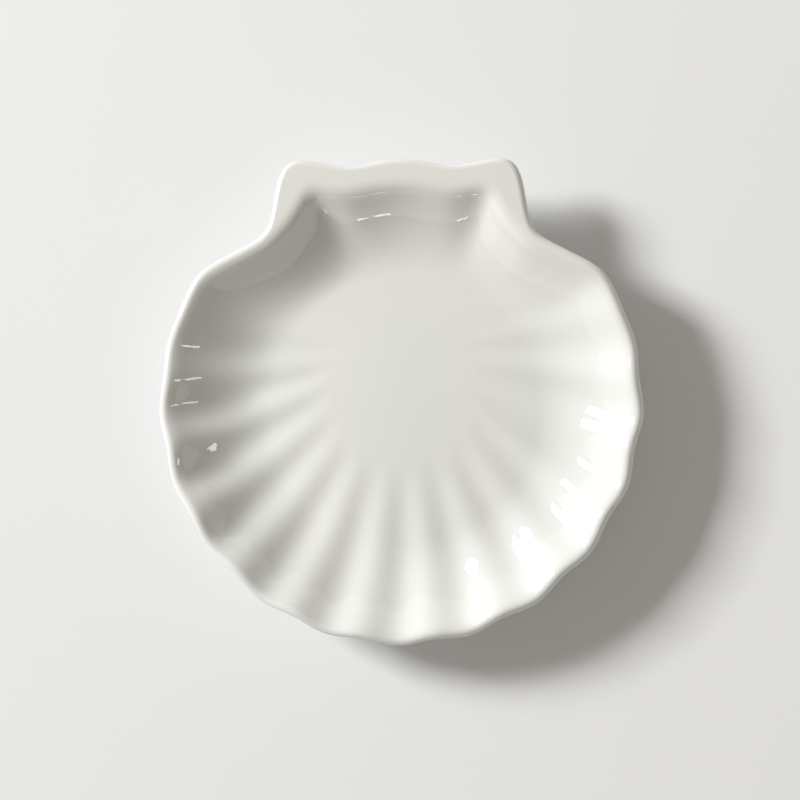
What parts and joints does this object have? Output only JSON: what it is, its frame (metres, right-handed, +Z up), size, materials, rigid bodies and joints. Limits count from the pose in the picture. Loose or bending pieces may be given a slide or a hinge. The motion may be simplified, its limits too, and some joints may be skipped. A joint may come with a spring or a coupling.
{
  "type": "shell dish",
  "caption": "Shallow scallop-shell dish in white glazed porcelain: a fluted fan-shaped bowl with a scalloped rim, a wavy eared hinge and a ring foot, for serving or holding small things.",
  "frame": {"origin": "on the table, under the middle of the dish, in the plane of the foot's standing rim", "axes": "+Z up out of the bowl, +Y towards the hinge and its ears, +X to the right as seen from the front lip"},
  "size_m": [0.15, 0.149, 0.023],
  "materials": {
    "glazed_porcelain": "gloss",
    "bare_porcelain": "matte"
  },
  "bodies": {
    "root": {"shell_body": "glazed_porcelain", "foot_ring": "bare_porcelain"}
  },
  "joints": []
}
